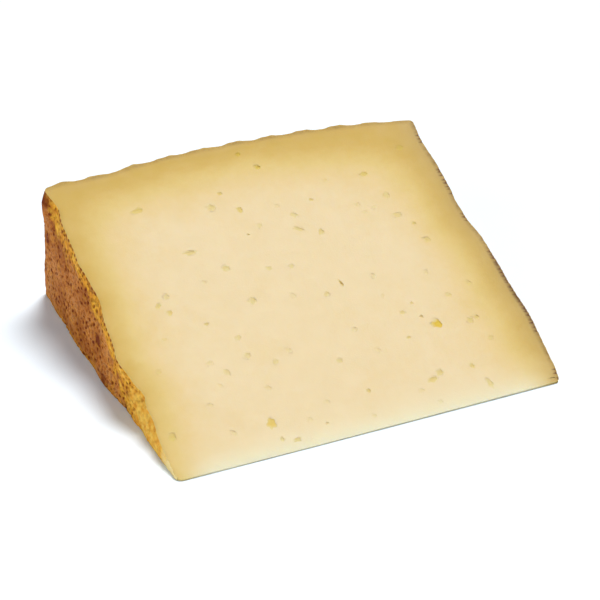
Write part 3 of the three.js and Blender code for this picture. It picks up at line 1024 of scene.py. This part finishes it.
# %% [markdown]
# Keeping the numbers on the points
#
# Each point keeps its numbers for the materials to read. The sharp edges are marked here too: the lip of an
# eye stays crisp from a smaller angle on than the grain of the rind, or else its shading would spill onto the
# flat paste round it. Then the wedge is moved into the measured box, and the few points that still stand out
# of it by a hair are brought back to its sides.

# %% Write the numbers and move the wedge
SHARP_ANGLE = math.radians(48)
LIP_ANGLE = math.radians(14)
NUMBERS_KEPT = ("aged", "crust", "greyed", "painted_point_glow", "golden", "worn")
CUBIC_METRE_IN_ML = 1e6


def measure_for_colours(mesh):
    """Writes each point's numbers, marks the sharp edges, and returns the open ones and the volume."""
    bm = bmesh.new()
    bm.from_mesh(mesh)
    layers = [bm.verts.layers.float.new(name) for name in NUMBERS_KEPT]
    for vert in bm.verts:
        along, out, turn = wheel_place(vert.co)
        depths = depths_inside(along, out, turn)
        paste_numbers = (aged(depths, out), crust(depths, out), greyed(depths), painted_point_glow(depths, out))
        rind_numbers = (golden(vert.co, out, turn), worn(vert.co, out))
        for layer, number in zip(layers, (*paste_numbers, *rind_numbers)):
            vert[layer] = number
    for edge in bm.edges:
        in_paste = all(face.material_index == PASTE for face in edge.link_faces)
        edge.smooth = edge.calc_face_angle(0) < (LIP_ANGLE if in_paste else SHARP_ANGLE)
    open_edges = sum(not edge.is_manifold for edge in bm.edges)
    volume = bm.calc_volume()
    bm.to_mesh(mesh)
    bm.free()
    return open_edges, volume


def keep_in_box(mesh):
    """Brings the points that stand past the measured box back to its sides, and counts them."""
    brought = 0
    for vert in mesh.vertices:
        inside = Vector([min(max(place, low), high) for place, low, high in zip(vert.co, LOW, HIGH)])
        brought += inside != vert.co
        vert.co = inside
    return brought


cheese.data.polygons.foreach_set("use_smooth", [True] * len(cheese.data.polygons))
open_edges, volume = measure_for_colours(cheese.data)
cheese.data.transform(Matrix.Translation(AXIS_PLACE))
print("Points brought back into the box:", keep_in_box(cheese.data))
print("Open edges:", open_edges, "volume in ml:", round(volume * CUBIC_METRE_IN_ML, 1),
      "triangles:", sum(len(face.vertices) - 2 for face in cheese.data.polygons))

# %% [markdown]
# Steps of a recipe that make numbers
#
# Both materials are node trees that are built from the same few steps, and one could link each node by hand.
# A helper for each step keeps the recipes short. The first ones make numbers: read one that the points keep,
# read noise of some grain size, add or multiply, and move a number into another range.

# %% Numbers of a recipe
# Between these lies most of a noise.
MOST_GRAIN = (0.3, 0.7)


class Recipe:
    """A material and the steps of its recipe that make numbers."""

    def __init__(self, name):
        self.material = bpy.data.materials.new(name)
        self.material.use_nodes = True
        self.tree = self.material.node_tree
        self.surface = self.tree.nodes["Principled BSDF"]
        self.place = self.tree.nodes.new("ShaderNodeTexCoord").outputs["Object"]

    def give(self, node, inputs, output):
        """Links a node's inputs to outputs or sets them to plain values, and returns its own output."""
        for name, value in inputs.items():
            if isinstance(value, bpy.types.NodeSocket):
                self.tree.links.new(value, node.inputs[name])
            else:
                node.inputs[name].default_value = value
        return node.outputs[output]

    def kept(self, name):
        """A number that the points keep."""
        node = self.tree.nodes.new("ShaderNodeAttribute")
        node.attribute_name = name
        return node.outputs["Fac"]

    def grain(self, size, detail=3, stretch=(1, 1, 1), slant=0):
        """Noise with grains of a size, drawn out by a stretch along axes that are slanted about X."""
        mapping = self.tree.nodes.new("ShaderNodeMapping")
        mapping.vector_type = "TEXTURE"
        scale = [size * share for share in stretch]
        turned = {"Vector": self.place, "Rotation": (slant, 0, 0), "Scale": scale}
        place = self.give(mapping, turned, "Vector")
        node = self.tree.nodes.new("ShaderNodeTexNoise")
        return self.give(node, {"Vector": place, "Scale": 1, "Detail": detail}, "Fac")

    def work_out(self, operation, first, second):
        """Arithmetic on two numbers, kept between 0 and 1."""
        node = self.tree.nodes.new("ShaderNodeMath")
        node.operation = operation
        node.use_clamp = True
        return self.give(node, {0: first, 1: second}, "Value")

    def ranged(self, value, low, high, to_low=0, to_high=1):
        """A number moved from one range into another, and held inside it."""
        node = self.tree.nodes.new("ShaderNodeMapRange")
        ranges = {"From Min": low, "From Max": high, "To Min": to_low, "To Max": to_high}
        return self.give(node, {"Value": value, **ranges}, "Result")

    def mottle(self, size, low, high, detail=3):
        """Soft patches of a size, as numbers from low to high."""
        return self.ranged(self.grain(size, detail), *MOST_GRAIN, low, high)


print("Steps that make numbers:", [name for name in vars(Recipe) if not name.startswith("_")])

# %% [markdown]
# Steps of a recipe that make colours and relief
#
# The other steps mix two colours, pick one from a row of stops, raise a fine relief, and hand all of it to
# the surface. Colours are written as they look on a screen, from 0 to 255, and are turned into the light
# that they stand for. One could type that light in, but then nobody could compare it with a picture.

# %% Colours and relief of a recipe
def screen_colour(red, green, blue):
    """A colour picked from a screen as the share of light that it gives back."""
    shares = [value / 255 for value in (red, green, blue)]
    return (*[share / 12.92 if share <= 0.04045 else ((share + 0.055) / 1.055) ** 2.4 for share in shares], 1)


class SurfaceRecipe(Recipe):
    """A material and all the steps of its recipe."""

    def blend(self, share, first, second):
        """Two colours mixed by a share of the second."""
        node = self.tree.nodes.new("ShaderNodeMix")
        node.data_type = "RGBA"
        return self.give(node, {"Factor": share, "A": first, "B": second}, "Result")

    def ramp(self, share, stops):
        """A colour read from a row of stops."""
        node = self.tree.nodes.new("ShaderNodeValToRGB")
        bar = node.color_ramp
        while len(bar.elements) < len(stops):
            bar.elements.new(0.5)
        for element, (place, colour) in zip(bar.elements, stops):
            element.position = place
            element.color = colour
        return self.give(node, {"Fac": share}, "Color")

    def bump(self, grain, height, share, **under):
        """A relief of a real height in metres, on top of another one if that is given as Normal."""
        node = self.tree.nodes.new("ShaderNodeBump")
        return self.give(node, {"Height": grain, "Distance": height, "Strength": share, **under}, "Normal")

    def finish(self, colour, relief, roughness, look):
        """Gives the surface its colour, relief, roughness and plain values, and returns the material."""
        made = {"Base Color": colour, "Normal": relief, "Roughness": roughness}
        self.give(self.surface, {**made, **look}, "BSDF")
        return self.material


print("Pale paste gives back:", [round(share, 3) for share in screen_colour(225, 203, 160)[:3]])

# %% [markdown]
# The paste
#
# The paste is ivory in the middle and turns to straw and then to a golden tan under the rind, all in the
# outer centimetre. One ramp holds that row of colours, and the age of each point picks from it. Light enters
# the fat of the cheese and comes out again a little further on, so the paste gets subsurface scattering. Near
# the thin point it is painted paler, as painted light that shines through the thin edge. The eyes are painted
# golden inside, most at their deepest, and the small ones more olive: partly their own colour and partly
# painted shade and bounced light of the hollow. Beside the crust the paste is dry and brownish, and on the
# right the pits of the cloth break its edge into dots, whose dark is painted onto the paste: partly the
# rind's own dark and partly painted shade of the notches.

# %% Recipe of the paste
# Colours of the paste at some ages.
AGED_COLOURS = (
    (0, 225, 203, 160), (0.2, 221, 194, 138), (0.4, 215, 187, 117), (0.55, 209, 178, 102),
    (0.7, 202, 168, 87), (0.86, 198, 164, 81), (1, 197, 163, 86),
)
PASTE_STOPS = [(age, screen_colour(*colour)) for age, *colour in AGED_COLOURS]
# Painted light: the paler colour of the paste where light shines through the thin point.
PAINTED_POINT_GLOW = screen_colour(229, 220, 186)
# Colours of the eyes: partly their own and partly painted shade of the hollow.
EYE_OLIVE_AND_SHADE = screen_colour(198, 181, 42)
EYE_GOLD_AND_SHADE = screen_colour(215, 181, 58)
DRIED_GREY = screen_colour(150, 142, 130)
CRUST_TAN = screen_colour(98, 68, 26)
# Dark of the right edge, painted onto the paste: partly the rind's own dark and partly painted shade of its
# notches.
EDGE_DARK_AND_SHADE = screen_colour(88, 46, 8)
# Each mottle: size of its patches, and its lowest and highest number.
AGE_PATCHES = (13 * MM, -0.05, 0.05)
AGE_SPECKS = (1.8 * MM, -0.02, 0.02)
CRUST_PATCHES = (1.6 * MM, 0.5, 1)
PASTE_GLOSS = (4 * MM, 0.48, 0.6)
EYE_TURNS_GOLD = (0.25, 0.65)
DOT_RANGE = (0.05, 0.6)
KNIFE_LINES = 0.9 * MM
KNIFE_STRETCH = (14, 1, 1)
CRUMB_SIZE = 0.45 * MM
# Each bump: its height, and how much of it shows.
KNIFE_BUMP = (0.03 * MM, 0.35)
CRUMB_BUMP = (0.05 * MM, 0.5)
PASTE_LOOK = {
    "Subsurface Weight": 0.35, "Subsurface Radius": (1.0, 0.72, 0.36), "Subsurface Scale": 2.5 * MM,
    "Specular IOR Level": 0.15,
}


def paste_material():
    """The ivory to tan paste with its golden eyes and brown edge."""
    paste = SurfaceRecipe("cheese_paste")
    age = paste.work_out("ADD", paste.kept("aged"), paste.mottle(*AGE_PATCHES))
    age = paste.work_out("ADD", age, paste.mottle(*AGE_SPECKS, detail=2))
    colour = paste.ramp(age, PASTE_STOPS)
    colour = paste.blend(paste.kept("greyed"), colour, DRIED_GREY)
    # Painted light: the paste near the thin point is made paler, for light that shines through the thin edge.
    colour = paste.blend(paste.kept("painted_point_glow"), colour, PAINTED_POINT_GLOW)
    # The eyes are painted golden, most at their deepest: their own colour and painted shade of the hollow.
    eye = paste.kept("eye")
    eye_colour_and_shade = paste.blend(paste.ranged(eye, *EYE_TURNS_GOLD), EYE_OLIVE_AND_SHADE, EYE_GOLD_AND_SHADE)
    colour = paste.blend(eye, colour, eye_colour_and_shade)
    dry = paste.work_out("MULTIPLY", paste.kept("crust"), paste.mottle(*CRUST_PATCHES))
    colour = paste.blend(dry, colour, CRUST_TAN)
    # Painted shade of the notches of the right edge, with the rind's dark.
    colour = paste.blend(paste.ranged(paste.kept("dots"), *DOT_RANGE), colour, EDGE_DARK_AND_SHADE)
    knife = paste.bump(paste.grain(KNIFE_LINES, detail=2, stretch=KNIFE_STRETCH), *KNIFE_BUMP)
    crumb = paste.bump(paste.grain(CRUMB_SIZE), *CRUMB_BUMP, Normal=knife)
    return paste.finish(colour, crumb, paste.mottle(*PASTE_GLOSS), PASTE_LOOK)


cheese_paste = paste_material()
print("Steps in the paste's recipe:", len(cheese_paste.node_tree.nodes))

# %% [markdown]
# The rind
#
# The rind is an orange brown and dry, rubbed with oil. It is mottled: lighter tan cells lie between deeper
# brown strokes, and the pits are a dark red brown, darkened further with painted shade of the hollow; the
# grooves of the plait get painted shade too. Where the knife has passed it is golden, and towards the point
# it turns to the colour of honey. The mottling comes from noise of several sizes, the pits, the grooves, the
# stains and the golden places from the numbers that the points keep.

# %% Recipe of the rind
RIND_DEEP = screen_colour(152, 80, 28)
RIND_BROWN = screen_colour(192, 115, 48)
RIND_TAN = screen_colour(226, 155, 86)
STRIP_COLOUR = screen_colour(236, 172, 48)
STRIP_BROWN = screen_colour(218, 140, 40)
HONEY = screen_colour(246, 196, 86)
DEEP_HONEY = screen_colour(232, 160, 52)
# Colours of the dark places: partly the rind's own dark and partly painted shade.
RIND_DARK_AND_SHADE = screen_colour(114, 46, 18)
GOLD_DARK_AND_SHADE = screen_colour(136, 70, 16)
WORN_PASTE = screen_colour(246, 218, 150)
RIND_STOPS = ((0.15, RIND_DEEP), (0.5, RIND_BROWN), (0.85, RIND_TAN))
# Each mottle: size of its patches, and its lowest and highest number.
BROAD_PATCHES = (9 * MM, 0, 0.4)
GOLD_PATCHES = (2.2 * MM, -0.2, 0.2)
RIND_GLOSS = (2 * MM, 0.55, 0.75)
CELL_SIZE = 1.0 * MM
STREAK_SIZE = 1.5 * MM
STROKE_STRETCH = (1, 1.6, 1)
FILM_SIZE = 0.3 * MM
# What becomes of a number: the lowest and highest that count, and what they turn into.
CELL_RANGE = (0.36, 0.64, 0, 0.65)
SPECK_RANGE = (0.5, 0.64, 0, 0.6)
STREAK_RANGE = (0.35, 0.62)
SHADE_RANGE = (0.03, 0.6)
PALER_IN_HONEY = (STRIP_GOLD, 1, 1, 0.35)
# Each bump: its height, and how much of it shows.
COARSE_BUMP = (0.25 * MM, 0.5)
FILM_BUMP = (0.08 * MM, 0.6)
RIND_LOOK = {
    "Subsurface Weight": 0.08, "Subsurface Radius": (1.0, 0.5, 0.2), "Subsurface Scale": 0.8 * MM,
    "Specular IOR Level": 0.03,
}


def strokes(recipe, size, detail=3):
    """Grain that is drawn out along the slant of the pits."""
    return recipe.grain(size, detail, STROKE_STRETCH, PIT_SLANT)


def rind_material():
    """The mottled brown rind with its dark pits, golden strips and honey point."""
    rind = SurfaceRecipe("cheese_rind")
    cells = rind.ranged(strokes(rind, CELL_SIZE), *CELL_RANGE)
    brown = rind.ramp(rind.work_out("ADD", rind.mottle(*BROAD_PATCHES), cells), RIND_STOPS)
    gold = rind.work_out("ADD", rind.kept("golden"), rind.mottle(*GOLD_PATCHES))
    in_strip = rind.ranged(gold, 0, STRIP_GOLD)
    in_honey = rind.ranged(gold, STRIP_GOLD, 1)
    streaks = rind.ranged(strokes(rind, STREAK_SIZE), *STREAK_RANGE)
    colour = rind.blend(in_strip, brown, rind.blend(streaks, STRIP_BROWN, STRIP_COLOUR))
    colour = rind.blend(in_honey, colour, rind.blend(streaks, DEEP_HONEY, HONEY))
    specks = rind.ranged(strokes(rind, CELL_SIZE, detail=2), *SPECK_RANGE)
    # The dark holds the specks and the mould stains, the pits' own red brown, and painted shade in the pits
    # and in the grooves of the plait.
    dark = rind.work_out("ADD", rind.ranged(rind.kept("shade"), *SHADE_RANGE), specks)
    dark = rind.work_out("MULTIPLY", dark, rind.ranged(gold, *PALER_IN_HONEY))
    colour = rind.blend(dark, colour, rind.blend(in_strip, RIND_DARK_AND_SHADE, GOLD_DARK_AND_SHADE))
    colour = rind.blend(rind.kept("worn"), colour, WORN_PASTE)
    coarse = rind.bump(strokes(rind, CELL_SIZE), *COARSE_BUMP)
    film = rind.bump(rind.grain(FILM_SIZE), *FILM_BUMP, Normal=coarse)
    return rind.finish(colour, film, rind.mottle(*RIND_GLOSS), RIND_LOOK)


cheese_rind = rind_material()
cheese.data.materials[PASTE] = cheese_paste
cheese.data.materials[RIND] = cheese_rind
print("Steps in the rind's recipe:", len(cheese_rind.node_tree.nodes))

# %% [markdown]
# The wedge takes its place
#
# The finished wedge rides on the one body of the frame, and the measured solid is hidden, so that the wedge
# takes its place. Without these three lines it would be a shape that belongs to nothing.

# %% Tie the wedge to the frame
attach(cheese, "root")
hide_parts("cheese_wedge")
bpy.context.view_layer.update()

# %% [markdown]
# The floor
#
# The wedge lies on a plain white floor. It is a hair lower than the wedge, so that the two never lie in one
# plane, and slightly blue, which makes up for the warm light that the cheese throws on it.

# %% Floor
FLOOR_SIZE = 6.0
FLOOR_GAP = 0.05 * MM
FLOOR_WHITE = (0.87, 0.94, 1, 1)


def white_floor():
    """A square floor under the wedge."""
    bm = bmesh.new()
    bmesh.ops.create_grid(bm, x_segments=1, y_segments=1, size=FLOOR_SIZE / 2)
    bmesh.ops.translate(bm, vec=(0, 0, LOW.z - FLOOR_GAP), verts=bm.verts)
    floor = object_from(bm, "floor")
    white = bpy.data.materials.new("white_floor")
    white.use_nodes = True
    surface = white.node_tree.nodes["Principled BSDF"]
    surface.inputs["Base Color"].default_value = FLOOR_WHITE
    surface.inputs["Roughness"].default_value = 1
    surface.inputs["Specular IOR Level"].default_value = 0
    floor.data.materials.append(white)
    return floor


floor = white_floor()
floor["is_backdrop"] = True
print("Floor of", FLOOR_SIZE, "m")

# %% [markdown]
# The light
#
# A pale, even sky lights all sides. A soft key light from the right lays the shadow towards the left, and a
# broad fill from the left brightens the rind. The colours are shown without a film look, so that the paste
# comes out as it is picked.

# %% Light
SKY_COLOUR = (0.93, 0.97, 1.0, 1)
SKY_STRENGTH = 0.3
# Each lamp: name, colour, strength, and its softness, azimuth from the X axis and height in degrees.
LAMPS = (("key", (1, 1, 1), 2.8, 25, 30, 70), ("fill", (0.87, 0.94, 1), 1.25, 60, 205, 12))


def towards(azimuth, height):
    """A direction: turned from the X axis towards the Y axis, then raised."""
    level = math.cos(height)
    return Vector((math.cos(azimuth) * level, math.sin(azimuth) * level, math.sin(height)))


def light_scene():
    """The sky and the lamps."""
    world = bpy.data.worlds.new("sky")
    world.use_nodes = True
    sky = world.node_tree.nodes["Background"]
    sky.inputs["Color"].default_value = SKY_COLOUR
    sky.inputs["Strength"].default_value = SKY_STRENGTH
    bpy.context.scene.world = world
    for name, colour, strength, softness, azimuth, height in LAMPS:
        lamp = bpy.data.lights.new(name, "SUN")
        lamp.color = colour
        lamp.energy = strength
        lamp.angle = math.radians(softness)
        way = towards(math.radians(azimuth), math.radians(height))
        add_object(name, lamp).rotation_euler = way.to_track_quat("Z", "Y").to_euler()
    bpy.context.scene.view_settings.view_transform = "Standard"


light_scene()
print("Lamps:", [lamp[0] for lamp in LAMPS])

# %% [markdown]
# The camera
#
# The wedge is looked at over its point, from above and a little from the left, so that the upper cut face,
# the left flat face and the front edge show. It is a long lens from some way off, which draws the rim nearly
# as large as the point.

# %% Camera
CAMERA_AIM = AXIS_PLACE + Vector((47.429, 35.498, 19.463)) * MM
CAMERA_AZIMUTH = math.radians(-24.78)
CAMERA_HEIGHT = math.radians(30.04)
CAMERA_DISTANCE = 548.15 * MM
CAMERA_VIEW = math.radians(15.5)
SENSOR_WIDTH = 36


def place_camera():
    """The camera, turned towards the place that it aims at."""
    lens = bpy.data.cameras.new("camera")
    lens.sensor_width = SENSOR_WIDTH
    lens.angle = CAMERA_VIEW
    camera = add_object("camera", lens)
    back = towards(CAMERA_AZIMUTH - math.pi / 2, CAMERA_HEIGHT)
    camera.location = CAMERA_AIM + back * CAMERA_DISTANCE
    camera.rotation_euler = back.to_track_quat("Z", "Y").to_euler()
    bpy.context.scene.camera = camera
    return camera


camera = place_camera()
print("Camera at, in mm:", [round(place / MM, 1) for place in camera.location])

# %% [markdown]
# Sizes and the finish
#
# The box of the measured wedge and the box of the finished one are set side by side, and the last line closes
# the frame.

# %% Set the sizes side by side and finish
boxes = {"cad": cad_box, "visual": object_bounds()}
{name: [list(map(float, corner)) for corner in box] for name, box in boxes.items()}
